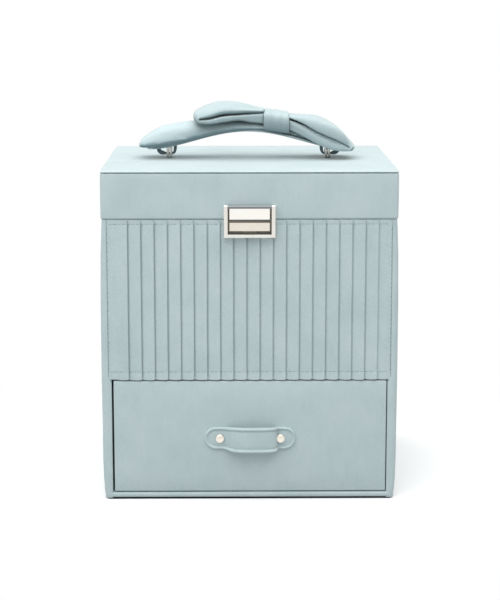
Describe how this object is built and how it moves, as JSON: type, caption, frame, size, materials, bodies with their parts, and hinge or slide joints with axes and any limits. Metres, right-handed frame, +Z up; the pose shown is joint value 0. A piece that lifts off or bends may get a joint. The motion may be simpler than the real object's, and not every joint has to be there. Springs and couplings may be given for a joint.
{
  "type": "makeup box",
  "caption": "Upright fabric-covered makeup box with a pleated front, hinged mirror lid with strap handle and bow, push latch, lift-out tray and a drawer below.",
  "frame": {"origin": "middle of the felt under the case, on the floor", "axes": "+Z up, +X to the right as seen from the drawer, +Y to the back; the drawer faces -Y"},
  "size_m": [0.2224, 0.2095, 0.2945],
  "materials": {
    "cover": "matte, pale blue-grey",
    "strap": "matte, pale blue-grey",
    "ribbon": "soft, pale blue-grey",
    "lining": "short pile",
    "board": "covered board",
    "felt": "felt",
    "nickel": "bright plate",
    "steel": "plain",
    "mirror": "silvered"
  },
  "bodies": {
    "case": {"base_felt": "felt", "bottom_board": "board", "left_side_board": "board", "right_side_board": "board", "back_board": "board", "front_board": "board", "deck_board": "board", "left_side_wrap": "cover", "right_side_wrap": "cover", "back_wrap": "cover", "sill_wrap": "cover", "pleated_panel": "cover", "compartment_lining": "lining", "tray_ledges": "board", "left_hinge_case_leaf": "nickel", "right_hinge_case_leaf": "nickel", "hinge_pins": "steel", "hinge_case_screws": "steel", "latch_base": "nickel", "latch_spring": "steel"},
    "lid": {"lid_top_board": "board", "lid_front_board": "board", "lid_back_board": "board", "lid_left_board": "board", "lid_right_board": "board", "lid_top_cover": "cover", "lid_band": "cover", "lid_lining": "lining", "mirror_glass": "mirror", "mirror_frame": "cover", "left_hinge_lid_leaf": "nickel", "right_hinge_lid_leaf": "nickel", "hinge_lid_screws": "steel", "latch_frame": "nickel", "latch_lid_plate": "nickel", "left_handle_post": "nickel", "right_handle_post": "nickel", "handle_post_nuts": "steel"},
    "latch_push": {"latch_button": "nickel", "latch_clip": "steel"},
    "handle": {"handle_pad": "strap", "handle_backing": "strap", "left_handle_tab": "strap", "right_handle_tab": "strap", "bow_left_loop": "ribbon", "bow_right_loop": "ribbon", "bow_knot": "ribbon"},
    "drawer": {"drawer_front_board": "board", "drawer_front_cover": "cover", "drawer_left_side": "board", "drawer_right_side": "board", "drawer_back": "board", "drawer_bottom": "board", "drawer_lining": "lining", "drawer_pull": "strap", "drawer_pull_rivets": "nickel", "drawer_pull_washers": "steel"},
    "tray": {"tray_shell": "board", "tray_long_divider": "board", "tray_cross_dividers": "board"}
  },
  "joints": [
    {"name": "lid_hinge", "type": "hinge", "parent": "case", "child": "lid", "pos_m": [0, 0.09985, 0.2137], "axis": [-1, 0, 0], "range_deg": [0, 100]},
    {"name": "drawer_slide", "type": "slide", "parent": "case", "child": "drawer", "axis": [0, -1, 0], "range_m": [0, 0.125]},
    {"name": "latch_press", "type": "slide", "parent": "case", "child": "latch_push", "axis": [0, 1, 0], "range_m": [0, 0.001], "stiffness_N_per_m": 900, "springref_m": -0.002, "deforming": ["latch_spring"]},
    {"name": "handle_lift", "type": "slide", "parent": "lid", "child": "handle", "axis": [0, 0, 1], "range_m": [0, 0.0029]},
    {"name": "tray_lift", "type": "slide", "parent": "case", "child": "tray", "axis": [0, 0, 1], "range_m": [0, 0.02]}
  ]
}
